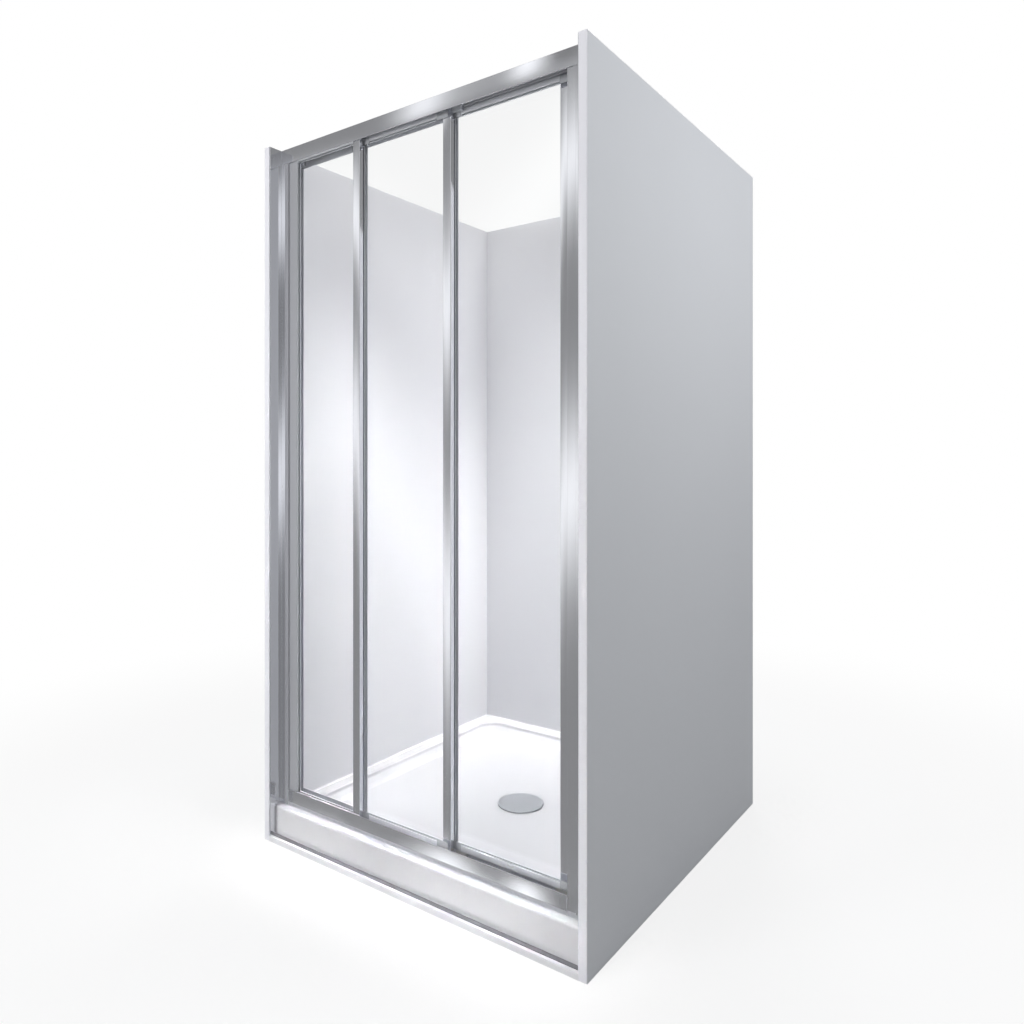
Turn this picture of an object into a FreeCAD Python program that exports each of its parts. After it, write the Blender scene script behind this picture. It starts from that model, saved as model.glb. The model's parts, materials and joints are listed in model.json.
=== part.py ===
import FreeCAD, Part
import math
import os
import re
import Sketcher

# Alcove shower: three boards and a floor board round a tray, with a framed front of one fixed and two
# sliding glass panels. X runs along the front, Y from front to back, Z up. The origin is on the floor,
# in the middle of the plan. All sizes are in millimetres.

SIZES = {
    # cabin boards
    "width": 1020,              # over both side walls
    "depth": 1000,              # front edge to back face
    "height": 1900,             # floor to the top of the walls
    "wall_board": 20,
    "floor_board": 14,
    "edge_band": 2,
    "liner": 3,
    "bead": 5,                  # silicone bead along the foot of the linings
    "dowel_diameter": 8,
    "dowel_length": 30,
    # tray
    "tray_setback": 20,         # from the front edge of the walls
    "threshold": 92,            # top of the front ledge above the floor
    "rim_height": 84,           # top of the rim along the walls
    "rim_width": 45,
    "ledge_rim": 14,            # strip of rim between the front frame and the basin
    "basin_floor": 54,          # height of the basin floor at its edge
    "basin_fall": 6,            # from that edge to the waste
    "basin_corner": 70,
    "foot_slope": 20,           # sloping foot of the basin wall
    "fall_radius": 340,         # reach of the basin floor's fall
    "apron_radius": 5,          # rounded front edge of the ledge
    "tray_shell": 7,
    "apron_wall": 12,
    "support_room": 24,         # hole in the foam support, wider than the nut
    # waste
    "waste_hole": 88,
    "flange_diameter": 112,
    "flange_thickness": 2,
    "cup_wall": 3,
    "cup_bottom": 17,           # height of the cup's underside above the floor
    "outlet_diameter": 40,
    "outlet_wall": 2.5,
    "outlet_end": 2,            # height of the outlet's end above the floor
    "coupling_room": 20,        # hole in the floor board, wider than the outlet
    "gasket_thickness": 1.5,
    "nut_height": 7,
    "nut_diameter": 106,
    "cover_diameter": 132,
    "cover_thickness": 3,
    "cover_lift": 2,            # cover above its flange
    "waste_recess": 2,          # space in the tray round the flange and the cover
    "plinth_trim": 2,
    "trim_setback": 8,
    # front frame
    "frame_setback": 40,        # from the front edge of the walls
    "frame_depth": 54,
    "skin": 2,                  # wall of the aluminium profiles
    "head_height": 40,
    "sill_height": 42,
    "sill_back": 28,            # back wall of the sill, lower than its front
    "seal_thickness": 1.5,
    "channel_leg": 30,
    "jamb_reach": 52,           # closing jamb, from the wall
    "jamb_pocket": 12,          # depth of the pocket that the door enters
    "magnet_thickness": 4,
    "screw_diameter": 4,
    "screw_head": 8,
    "screw_length": 16,
    "screw_pitch": 420,
    # tracks
    "track_pitch": 16.5,
    "panel_clearance": 1,       # panel to the track walls, front and back
    "shelf_reach": 6.5,         # shelf that the rollers run on
    "shelf_level": 12,          # its underside above the bottom of the head rail
    "guide_rib": 18,            # height of the sill's guide ribs
    "buffer_stop": 43.5,        # face of the open stops, from the left wall
    "buffer_width": 7,
    "buffer_length": 28,
    # panels
    "panel_entry": 10,          # how far the panels reach up into the head rail
    "panel_lift": 27,           # bottom of the panels above the bottom of the sill
    "panel_thickness": 13,
    "first_mullion": 284,       # left edge of the overlapped stiles, from the left wall
    "second_mullion": 573,
    "stile_width": 24,
    "outer_stile_width": 43,
    "outer_stile_start": 22,    # from the left wall
    "leading_stile_width": 41.5,
    "magnet_gap": 0.5,
    "top_rail": 12,
    "bottom_rail": 14,
    "groove": 8,                # width and depth of the glazing groove
    "glass_thickness": 5,
    "glass_bite": 7,            # glass held in the groove
    "wiper_thickness": 2,
    "wiper_width": 6,
    "pull_width": 12,           # finger groove in the leading stile
    "pull_depth": 3,
    # running gear
    "roller_diameter": 16,
    "roller_width": 5,
    "axle_diameter": 5,
    "shoulder_diameter": 8,
    "carrier_inset": 40,        # roller axis from the end of its panel
    "carrier_width": 28,
    "carrier_thickness": 3,
    "guide_height": 14,
    "guide_thickness": 9,
    "guide_length": 30,
    "plate_width": 34,
    "plate_height": 17,
    "plate_thickness": 1.2,
    # fits
    "gap": 0.3,                 # between moving parts, and at a loose seat
    "running_fit": 0.08,        # round a roller's axle
}

# Places that follow from the sizes. A place may use other places.
PLACES = {
    "front": "-depth / 2",
    "back_face": "depth / 2 - wall_board",
    "left_face": "-width / 2 + wall_board",
    "right_face": "width / 2 - wall_board",
    "wall_top": "height - edge_band",
    "tray_front": "front + tray_setback",
    "tray_back": "back_face - gap",
    "tray_left": "left_face + gap",
    "tray_right": "right_face - gap",
    "basin_front": "frame_back + ledge_rim",
    "floor_at_waste": "basin_floor - basin_fall",
    "tray_underside": "floor_at_waste - tray_shell",
    "flange_seat": "floor_at_waste - flange_thickness - gap",
    "cup_diameter": "waste_hole - 2 * gap",
    "cover_underside": "flange_seat + flange_thickness + cover_lift",
    "frame_front": "front + frame_setback",
    "frame_back": "frame_front + frame_depth",
    "rail_bottom": "height - head_height",
    "sill_bottom": "threshold + seal_thickness",
    "sill_top": "sill_bottom + sill_height",
    "sill_left": "left_face + channel_leg + gap",
    "sill_right": "right_face - jamb_reach - gap",
    "leg_bottom": "threshold + gap",
    "leg_top": "rail_bottom - gap",
    "panel_top": "rail_bottom + panel_entry",
    "panel_bottom": "sill_bottom + panel_lift",
    "glass_top": "panel_top - top_rail",
    "glass_bottom": "panel_bottom + bottom_rail",
    "mullion_one": "left_face + first_mullion",
    "mullion_two": "left_face + second_mullion",
    "jamb_face": "right_face - jamb_reach + jamb_pocket",
    "door_edge": "jamb_face - magnet_thickness - magnet_gap - magnet_thickness",
    "shelf_top": "rail_bottom + shelf_level + skin",
    "axle_height": "shelf_top + gap + roller_diameter / 2",
    "lip": "(panel_thickness - groove) / 2",
}

doc = FreeCAD.newDocument("shower_enclosure")
PARTS = []


def fill_sheet():
    """One row for each size: its name, its value and the same name as the cell's alias."""
    sheet = doc.addObject("Spreadsheet::Sheet", "Sizes")
    for row, (name, size) in enumerate(SIZES.items(), start=1):
        sheet.set(f"A{row}", name)
        sheet.set(f"B{row}", str(size))
        sheet.setAlias(f"B{row}", name)
    doc.recompute()


def bound(text):
    """A formula on names of sizes and places, as an expression on the sheet's cells."""
    def cell(match):
        word = match.group(0)
        if word in PLACES:
            return "(" + bound(PLACES[word]) + ")"
        return "Sizes." + word
    return re.sub(r"[A-Za-z_]\w*", cell, text)


def bind(thing, **formulas):
    for field, text in formulas.items():
        thing.setExpression(field, bound(text))


def place(thing, x="0", y="0", z="0"):
    for axis, text in zip("xyz", (x, y, z)):
        thing.setExpression(f"Placement.Base.{axis}", bound(text))
    return thing


def keep(thing):
    PARTS.append(thing)
    return thing


def box(name, x, y, z):
    """A block between two formulas on each axis."""
    block = doc.addObject("Part::Box", name)
    bind(block, Length=f"({x[1]}) - ({x[0]})", Width=f"({y[1]}) - ({y[0]})",
         Height=f"({z[1]}) - ({z[0]})")
    return place(block, x[0], y[0], z[0])


TURN_TO = {
    "x": FreeCAD.Rotation(FreeCAD.Vector(0, 1, 0), 90),
    "y": FreeCAD.Rotation(FreeCAD.Vector(1, 0, 0), -90),
    "z": FreeCAD.Rotation(),
}


def rod(name, along, diameter, length, x="0", y="0", z="0"):
    """A cylinder that starts at a point and runs along +X, +Y or +Z."""
    cylinder = doc.addObject("Part::Cylinder", name)
    cylinder.Placement.Rotation = TURN_TO[along]
    bind(cylinder, Radius=f"({diameter}) / 2", Height=length)
    return place(cylinder, x, y, z)


def joined(name, pieces):
    fuse = doc.addObject("Part::MultiFuse", name)
    fuse.Shapes = pieces
    fuse.Refine = True
    return fuse


def grouped(name, pieces):
    """Separate solids in one node."""
    group = doc.addObject("Part::Compound", name)
    group.Links = pieces
    return group


def cut(name, base, *tools):
    result = doc.addObject("Part::Cut", name)
    result.Base = base
    result.Tool = tools[0] if len(tools) == 1 else grouped(name + "_tools", list(tools))
    result.Refine = True
    return result


def origin_feature(body, role):
    return [feature for feature in body.Origin.OriginFeatures if feature.Role == role][0]


def attached_sketch(body, name, plane):
    sketch = body.newObject("Sketcher::SketchObject", name)
    sketch.AttachmentSupport = [(origin_feature(body, plane), "")]
    sketch.MapMode = "FlatFace"
    return sketch


def outline(sketch, points):
    """A closed run of lines whose corners are held by formulas, measured from the sketch's origin."""
    count = len(points)
    start = [FreeCAD.Vector(math.cos(2 * math.pi * turn / count), math.sin(2 * math.pi * turn / count), 0)
             for turn in range(count)]
    first = sketch.GeometryCount
    sketch.addGeometry([Part.LineSegment(start[i], start[(i + 1) % count]) for i in range(count)], False)
    for i, corner in enumerate(points):
        sketch.addConstraint(Sketcher.Constraint("Coincident", first + i, 2, first + (i + 1) % count, 1))
        for direction, text in zip(("DistanceX", "DistanceY"), corner):
            rule = sketch.addConstraint(Sketcher.Constraint(direction, -1, 1, first + i, 1, 1.0))
            sketch.setExpression(f"Constraints[{rule}]", bound(text))


def extrusion(name, plane, points, start, end):
    """A profile drawn in place on an origin plane and run from start to end along its normal."""
    body = doc.addObject("PartDesign::Body", name)
    sketch = attached_sketch(body, name + "_profile", plane)
    outline(sketch, points)
    pad = body.newObject("PartDesign::Pad", name + "_run")
    pad.Profile = sketch
    bind(pad, Length=f"({end}) - ({start})")
    axis = {"YZ_Plane": "x", "XY_Plane": "z"}[plane]
    return place(body, **{axis: start})


def turned(name, points):
    """A body turned about the vertical axis through the origin; points are (radius, height)."""
    body = doc.addObject("PartDesign::Body", name)
    sketch = attached_sketch(body, name + "_section", "XZ_Plane")
    outline(sketch, points)
    turn = body.newObject("PartDesign::Revolution", name + "_turn")
    turn.Profile = sketch
    turn.ReferenceAxis = (sketch, ["V_Axis"])
    turn.Angle = 360
    return body


def polar(radius, degrees):
    """A point on a circle round the vertical axis, as two formulas."""
    turn = math.radians(degrees)
    return f"{radius} * {math.cos(turn):.6f}", f"{radius} * {math.sin(turn):.6f}"


def offset(points, shift):
    """The same points with a formula added to their first coordinate."""
    return [(f"({shift}) + ({u})", v) for u, v in points]


def mirrored(points):
    return [(f"-({u})", v) for u, v in points]


# ---------------------------------------------------------------- cabin

def dowel_rods():
    """Dowels along X in the joints of both side walls with the back wall and the floor board."""
    rods = []
    for side, face in (("left", "left_face"), ("right", "right_face")):
        start = f"{face} - dowel_length / 2"
        for step in range(5):
            level = f"floor_board + (wall_top - floor_board) * {step + 0.5} / 5"
            rods.append(rod(f"{side}_back_dowel_{step}", "x", "dowel_diameter", "dowel_length",
                            start, "depth / 2 - wall_board / 2", level))
        for step in range(4):
            rods.append(rod(f"{side}_floor_dowel_{step}", "x", "dowel_diameter", "dowel_length",
                            start, f"front + (back_face - front) * {step + 0.5} / 4", "floor_board / 2"))
    return rods


def make_cabin(screws):
    dowels = keep(grouped("dowels", dowel_rods()))
    wall_height = ("0", "wall_top")
    full_depth = ("front + edge_band", "depth / 2")
    left = box("left_wall_board", ("-width / 2", "left_face"), full_depth, wall_height)
    right = box("right_wall_board", ("right_face", "width / 2"), full_depth, wall_height)
    back = box("back_wall_board", ("left_face", "right_face"), ("back_face", "depth / 2"), wall_height)
    keep(cut("left_wall", left, dowels, screws))
    keep(cut("right_wall", right, dowels, screws))
    keep(cut("back_wall", back, dowels))
    keep(floor_boards(dowels))
    top = ("wall_top", "height")
    keep(grouped("edge_bands", [
        box("left_front_band", ("-width / 2", "left_face"), ("front", "front + edge_band"), ("0", "height")),
        box("right_front_band", ("right_face", "width / 2"), ("front", "front + edge_band"), ("0", "height")),
        box("left_top_band", ("-width / 2", "left_face"), full_depth, top),
        box("right_top_band", ("right_face", "width / 2"), full_depth, top),
        box("back_top_band", ("left_face", "right_face"), ("back_face", "depth / 2"), top),
    ]))


def floor_boards(dowels):
    """Four boards round a square hole for the outlet's coupling."""
    whole, hole_edge = ("left_face", "right_face"), "(outlet_diameter + coupling_room) / 2"
    beside, thick = (f"-{hole_edge}", hole_edge), ("0", "floor_board")
    front = box("front_floor_board", whole, ("front", f"-{hole_edge}"), thick)
    back = box("back_floor_board", whole, (hole_edge, "back_face"), thick)
    return grouped("floor_panel", [
        cut("front_board_bored", front, dowels),
        cut("back_board_bored", back, dowels),
        box("left_floor_board", ("left_face", f"-{hole_edge}"), beside, thick),
        box("right_floor_board", (hole_edge, "right_face"), beside, thick),
    ])


def make_linings():
    foot = "rim_height + gap"
    inner_back = "back_face - liner"
    keep(box("left_liner", ("left_face", "left_face + liner"), ("frame_back + gap", "back_face"),
             (foot, "wall_top")))
    keep(box("right_liner", ("right_face - liner", "right_face"), ("frame_back + gap", "back_face"),
             (foot, "wall_top")))
    keep(box("back_liner", ("left_face + liner", "right_face - liner"), (inner_back, "back_face"),
             (foot, "wall_top")))
    side = [("left_face + liner", "rim_height"), ("left_face + liner + bead", "rim_height"),
            ("left_face + liner", "rim_height + bead")]
    back = [(inner_back, "rim_height"), (inner_back, "rim_height + bead"),
            (f"{inner_back} - bead", "rim_height")]
    keep(grouped("rim_seal", [
        upright_bead("left_bead", side),
        upright_bead("right_bead", mirrored(side)),
        extrusion("back_bead", "YZ_Plane", back, "left_face + liner + bead", "right_face - liner - bead"),
    ]))


def upright_bead(name, section):
    """A bead along a side wall; the section is given as (x, z)."""
    body = doc.addObject("PartDesign::Body", name)
    sketch = attached_sketch(body, name + "_profile", "XZ_Plane")
    outline(sketch, section)
    pad = body.newObject("PartDesign::Pad", name + "_run")
    pad.Profile = sketch
    bind(pad, Length="(back_face - liner) - (frame_back + gap)")
    return place(body, y="back_face - liner")


# ---------------------------------------------------------------- tray and waste

def rectangle(x, y):
    return [(x[0], y[0]), (x[1], y[0]), (x[1], y[1]), (x[0], y[1])]


def tray_step(body, name, kind, points, length, level="0"):
    """A pad or pocket of the tray from a sketch at a height above the floor board."""
    sketch = attached_sketch(body, name + "_outline", "XY_Plane")
    sketch.setExpression("AttachmentOffset.Base.z", bound(level))
    outline(sketch, points)
    step = body.newObject(kind, name)
    step.Profile = sketch
    bind(step, Length=length)
    return step


def make_tray():
    body = doc.addObject("PartDesign::Body", "tray")
    across = ("tray_left", "tray_right")
    tray_step(body, "tray_rim", "PartDesign::Pad", rectangle(across, ("frame_back", "tray_back")),
              "rim_height - floor_board")
    tray_step(body, "tray_ledge", "PartDesign::Pad", rectangle(across, ("tray_front", "frame_back")),
              "threshold - floor_board")
    under = tray_step(body, "tray_hollow", "PartDesign::Pocket",
                      rectangle(("tray_left + apron_wall", "tray_right - apron_wall"),
                                ("tray_front + apron_wall", "tray_back - apron_wall")),
                      "tray_underside - floor_board")
    under.Reversed = True
    basin = tray_step(body, "tray_basin", "PartDesign::Pocket",
                      rectangle(("tray_left + rim_width", "tray_right - rim_width"),
                                ("basin_front", "tray_back - rim_width")),
                      "rim_height - basin_floor", "rim_height - floor_board")
    doc.recompute()
    corners = dressed(body, "PartDesign::Fillet", "basin_corners", basin, basin_upright,
                      Radius="basin_corner")
    dressed(body, "PartDesign::Chamfer", "basin_slope", corners, basin_foot, Size="foot_slope")
    fall = body.newObject("PartDesign::Groove", "tray_fall")
    section = attached_sketch(body, "tray_fall_section", "XZ_Plane")
    outline(section, [("0", "basin_floor - floor_board"), ("fall_radius", "basin_floor - floor_board"),
                      ("cover_diameter / 2 + waste_recess", "floor_at_waste - floor_board"),
                      ("flange_diameter / 2 + waste_recess", "floor_at_waste - floor_board"),
                      ("flange_diameter / 2 + waste_recess", "flange_seat - floor_board"),
                      ("waste_hole / 2", "flange_seat - floor_board"),
                      ("waste_hole / 2", "0"), ("0", "0")])
    fall.Profile = section
    fall.ReferenceAxis = (section, ["V_Axis"])
    fall.Angle = 360
    doc.recompute()
    body.Tip = dressed(body, "PartDesign::Fillet", "apron_edge", fall, along_apron, Radius="apron_radius")
    keep(place(body, z="floor_board"))


def dressed(body, kind, name, feature, wanted, **size):
    """A fillet or chamfer on the edges of a feature whose two ends pass a test."""
    names = []
    for number, edge in enumerate(feature.Shape.Edges, start=1):
        ends = [vertex.Point for vertex in edge.Vertexes]
        if len(ends) == 2 and wanted(*ends):
            names.append(f"Edge{number}")
    step = body.newObject(kind, name)
    step.Base = (feature, names)
    bind(step, **size)
    doc.recompute()
    return step


def in_basin(point):
    """Inside the basin's outline and above the tray's hollow."""
    reach = value("width") / 2 - value("wall_board") - value("rim_width") + 1
    front = -value("depth") / 2 + value("frame_setback") + value("frame_depth") + 1
    above = point.z > value("basin_floor") - value("floor_board") - 1
    return above and abs(point.x) < reach and point.y > front


def basin_upright(start, end):
    return in_basin(start) and in_basin(end) and abs(start.z - end.z) > 1


def basin_foot(start, end):
    """Edges where the basin's wall meets its floor."""
    floor = value("basin_floor") - value("floor_board") + 1
    return in_basin(start) and in_basin(end) and max(start.z, end.z) < floor


def along_apron(start, end):
    """The upper front edge of the ledge."""
    lowest = value("threshold") - value("floor_board") - 1
    front = -value("depth") / 2 + value("tray_setback") + 1
    return min(start.z, end.z) > lowest and max(start.y, end.y) < front and abs(start.z - end.z) < 1


def value(name):
    return doc.getObject("Sizes").get(name)


def make_support():
    """Foam block that fills the tray's hollow, with a hole round the waste."""
    inset = "apron_wall + gap"
    block = box("support_block", (f"tray_left + {inset}", f"tray_right - ({inset})"),
                (f"tray_front + {inset}", f"tray_back - ({inset})"), ("floor_board", "tray_underside"))
    well = rod("support_well", "z", "nut_diameter + support_room", "tray_underside - floor_board",
               z="floor_board")
    keep(cut("tray_support", block, well))


def make_waste():
    flange_top = "flange_seat + flange_thickness"
    cup_inside = "cup_diameter / 2 - cup_wall"
    bore = "outlet_diameter / 2 - outlet_wall"
    keep(turned("waste_body", [
        (cup_inside, flange_top), ("flange_diameter / 2", flange_top), ("flange_diameter / 2", "flange_seat"),
        ("cup_diameter / 2", "flange_seat"), ("cup_diameter / 2", "cup_bottom"),
        ("outlet_diameter / 2", "cup_bottom"), ("outlet_diameter / 2", "outlet_end"), (bore, "outlet_end"),
        (bore, "cup_bottom + cup_wall"), (cup_inside, "cup_bottom + cup_wall")]))
    gasket_bottom = "tray_underside - gasket_thickness"
    keep(turned("waste_gasket", rectangle(("cup_diameter / 2", "nut_diameter / 2"),
                                          (gasket_bottom, "tray_underside"))))
    nut = extrusion("nut_blank", "XY_Plane", [
        polar("nut_diameter / 2", 60 * side) for side in range(6)],
        f"{gasket_bottom} - nut_height", gasket_bottom)
    keep(cut("waste_nut", nut, rod("nut_bore", "z", "cup_diameter", "nut_height",
                                   z=f"{gasket_bottom} - nut_height")))
    crown = "cover_underside + cover_thickness"
    disc = turned("cover_disc", [
        ("0", "cover_underside"), ("cover_diameter / 2 - 2 * cover_thickness", "cover_underside"),
        ("cover_diameter / 2", "cover_underside - cover_lift / 2"),
        ("cover_diameter / 2", "cover_underside"),
        ("cover_diameter / 2 - 2 * cover_thickness", crown), ("0", crown)])
    foot_circle = "(flange_diameter / 2 - 2 * cover_thickness)"
    feet = [rod(f"cover_foot_{turn}", "z", "2 * cover_thickness", "cover_lift + cover_thickness / 2",
                *polar(foot_circle, 120 * turn), flange_top) for turn in range(3)]
    keep(joined("waste_cover", [disc] + feet))
    keep(box("plinth_trim", ("left_face + skin + gap", "right_face - skin - gap"),
             ("front + trim_setback", "tray_front - gap"), ("floor_board", "floor_board + plinth_trim")))


# ---------------------------------------------------------------- front frame

SCREW_ROWS = 4
SCREW_LEVEL = "(leg_bottom + leg_top) / 2 + screw_pitch * {step}"


def channel_screws(side):
    """Pan-head screws that hold a wall channel, heads inside the channel."""
    solids = []
    sign, face = ("-", "left_face") if side == "left" else ("+", "right_face")
    for row in range(SCREW_ROWS):
        level = SCREW_LEVEL.format(step=row - (SCREW_ROWS - 1) / 2)
        middle = "frame_front + frame_depth / 2"
        inner = f"{face} + skin" if sign == "-" else f"{face} - skin"
        shank_start = f"{inner} - screw_length" if sign == "-" else inner
        head_start = inner if sign == "-" else f"{inner} - screw_diameter / 2"
        shank = rod(f"{side}_shank_{row}", "x", "screw_diameter", "screw_length", shank_start, middle, level)
        head = rod(f"{side}_head_{row}", "x", "screw_head", "screw_diameter / 2", head_start, middle, level)
        solids.append(joined(f"{side}_screw_{row}", [shank, head]))
    return solids


def channel_section():
    """Plan of a wall channel as (distance from the wall, y): lining strip in front, then the U."""
    return [("0", "front + edge_band"), ("skin", "front + edge_band"), ("skin", "frame_front"),
            ("channel_leg", "frame_front"), ("channel_leg", "frame_front + skin"),
            ("skin", "frame_front + skin"), ("skin", "frame_back - skin"),
            ("channel_leg", "frame_back - skin"), ("channel_leg", "frame_back"), ("0", "frame_back")]


def make_channels(screws):
    for side, face, flip in (("left", "left_face", False), ("right", "-right_face", True)):
        section = offset(channel_section(), face)
        if flip:
            section = mirrored(section)
            plate = ("right_face - skin", "right_face")
        else:
            plate = ("left_face", "left_face + skin")
        legs = extrusion(f"{side}_legs", "XY_Plane", section, "leg_bottom", "leg_top")
        low = box(f"{side}_low_strip", plate, ("front + edge_band", "tray_front - gap"),
                  ("floor_board", "leg_bottom"))
        high = box(f"{side}_high_strip", plate, ("front + edge_band", "frame_back"), ("leg_top", "height"))
        keep(cut(f"{side}_channel", joined(f"{side}_channel_blank", [legs, low, high]), screws))


def make_closing_jamb():
    front = ("frame_front + skin + gap", "frame_front + 2 * skin + gap")
    back = ("frame_back - 2 * skin - gap", "frame_back - skin - gap")
    start = "-right_face + 2 * skin"
    reach = "-right_face + jamb_reach"
    web = ("-(jamb_face + skin)", "-jamb_face")
    section = [(start, front[0]), (reach, front[0]), (reach, front[1]), (web[1], front[1]),
               (web[1], back[0]), (reach, back[0]), (reach, back[1]), (start, back[1]),
               (start, back[0]), (web[0], back[0]), (web[0], front[1]), (start, front[1])]
    keep(extrusion("closing_jamb", "XY_Plane", mirrored(section), "leg_bottom", "leg_top"))


def track_front(number):
    """Front face of the panel in track 0, 1 or 2."""
    return f"(frame_front + skin + panel_clearance + {number} * track_pitch)"


def track_web(number):
    return f"({track_front(number)} - skin - panel_clearance)"


def make_head_rail():
    roof = "height - skin"
    shelf = ("rail_bottom + shelf_level", "shelf_top")
    points = [("frame_front", "rail_bottom"), ("frame_front", "height"), ("frame_back", "height"),
              ("frame_back", "rail_bottom"), ("frame_back - skin", "rail_bottom"),
              ("frame_back - skin", roof)]
    for track in (2, 1):
        web = track_web(track)
        points += [(f"{web} + skin", roof), (f"{web} + skin", shelf[1]),
                   (f"{web} + skin + shelf_reach", shelf[1]), (f"{web} + skin + shelf_reach", shelf[0]),
                   (web, shelf[0]), (web, roof)]
    points += [("frame_front + skin", roof), ("frame_front + skin", "rail_bottom")]
    keep(extrusion("head_rail", "YZ_Plane", points, "left_face + skin + gap", "right_face - skin - gap"))


def make_sill_rail():
    floor = "sill_bottom + skin"
    seat_top = "panel_bottom - gap"
    points = [("frame_front", "sill_bottom"), ("frame_back", "sill_bottom"),
              ("frame_back", "sill_bottom + sill_back"), ("frame_back - skin", "sill_bottom + sill_back"),
              ("frame_back - skin", floor)]
    for track in (2, 1):
        middle = f"{track_front(track)} + panel_thickness / 2"
        points += [(f"{middle} + skin / 2", floor), (f"{middle} + skin / 2", f"{floor} + guide_rib"),
                   (f"{middle} - skin / 2", f"{floor} + guide_rib"), (f"{middle} - skin / 2", floor)]
    seat_back = f"{track_front(0)} + panel_thickness + panel_clearance"
    points += [("frame_front + skin", floor), ("frame_front + skin", f"{seat_top} - skin"),
               (seat_back, f"{seat_top} - skin"), (seat_back, seat_top), ("frame_front + skin", seat_top),
               ("frame_front + skin", "sill_top"), ("frame_front", "sill_top")]
    keep(extrusion("sill_rail", "YZ_Plane", points, "sill_left", "sill_right"))
    keep(box("sill_seal", ("sill_left", "sill_right"), ("frame_front + skin", "frame_back - skin"),
             ("threshold", "sill_bottom")))


def make_buffers():
    """Rubber stops in the sliding tracks: two for the open end, one for the middle panel when shut."""
    shut = "mullion_two + stile_width + gap"
    stops = [("open_buffer_1", 1, "left_face + buffer_stop - buffer_length", "left_face + buffer_stop"),
             ("open_buffer_2", 2, "left_face + buffer_stop - buffer_length", "left_face + buffer_stop"),
             ("shut_buffer", 1, shut, f"{shut} + buffer_length")]
    solids = []
    for name, track, start, end in stops:
        back = f"{track_front(track)} + panel_thickness"
        solids.append(box(name, (start, end), (f"{back} - buffer_width", back),
                          ("rail_bottom + skin", "height - skin")))
    keep(grouped("track_buffers", solids))


# ---------------------------------------------------------------- panels

def stile_section(width):
    """Plan of a stile as (distance from its outer edge, distance from its front face)."""
    return [("0", "0"), (width, "0"), (width, "lip"), (f"{width} - groove", "lip"),
            (f"{width} - groove", "lip + groove"), (width, "lip + groove"),
            (width, "panel_thickness"), ("0", "panel_thickness")]


def leading_section(width):
    """The leading stile has a finger groove in its front face."""
    middle = f"({width}) / 2 - groove / 2"
    pull = [(f"{middle} - pull_width / 2", "0"), (f"{middle} - pull_width / 2", "pull_depth"),
            (f"{middle} + pull_width / 2", "pull_depth"), (f"{middle} + pull_width / 2", "0")]
    section = stile_section(width)
    return section[:1] + pull + section[1:]


def stile(name, section, edge, front, flip=False):
    points = [(u, f"{front} + {v}") for u, v in section]
    if flip:
        points = mirrored(points)
    return keep(extrusion(name, "XY_Plane", offset(points, edge), "panel_bottom", "panel_top"))


def rail(name, front, outer, inner, ends):
    """A top or bottom rail; outer is its outer edge's height, inner the edge that holds the glass."""
    sign = "-" if outer == "panel_top" else "+"
    bed = f"{inner} {'+' if sign == '-' else '-'} groove"
    points = [("0", outer), ("0", inner), ("lip", inner), ("lip", bed), ("lip + groove", bed),
              ("lip + groove", inner), ("panel_thickness", inner), ("panel_thickness", outer)]
    return keep(extrusion(name, "YZ_Plane", offset(points, front), *ends))


def glazing(panel, front, sides):
    """The glass and the gasket that fills the groove round it; sides are the visible glass's edges."""
    left, right = sides
    glass_front = f"{front} + (panel_thickness - glass_thickness) / 2"
    pane_x = (f"{left} - glass_bite", f"{right} + glass_bite")
    pane_y = (glass_front, f"{glass_front} + glass_thickness")
    pane_z = ("glass_bottom - glass_bite", "glass_top + glass_bite")
    keep(box(f"{panel}_glass", pane_x, pane_y, pane_z))
    groove_y = (f"{front} + lip", f"{front} + lip + groove")
    ring = box(f"{panel}_gasket_blank", (f"{left} - groove", f"{right} + groove"), groove_y,
               ("glass_bottom - groove", "glass_top + groove"))
    sight = box(f"{panel}_sight", (left, right), groove_y, ("glass_bottom", "glass_top"))
    pane = box(f"{panel}_pane", pane_x, pane_y, pane_z)
    keep(cut(f"{panel}_gasket", ring, sight, pane))


def wiper(name, front, edge):
    """A soft strip on the back of a stile that closes the gap to the next track."""
    back = f"{front} + panel_thickness"
    start = f"{edge} + (stile_width - wiper_width) / 2"
    keep(box(name, (start, f"{start} + wiper_width"), (back, f"{back} + wiper_thickness"),
             ("panel_bottom + skin", "panel_top - skin")))


def corner_plates(panel, front, left, right):
    """Thin cover plates over the four corner joints of a sliding panel."""
    y = (f"{front} - plate_thickness", front)
    setback = "stile_width / 3"
    spans = [(f"{left} + {setback}", f"{left} + {setback} + plate_width"),
             (f"{right} - {setback} - plate_width", f"{right} - {setback}")]
    levels = [("panel_bottom + skin", "panel_bottom + skin + plate_height"),
              ("panel_top - skin - plate_height", "panel_top - skin")]
    keep(grouped(f"{panel}_corner_plates", [
        box(f"{panel}_plate_{side}_{end}", span, y, level)
        for side, span in enumerate(spans) for end, level in enumerate(levels)]))


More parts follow.
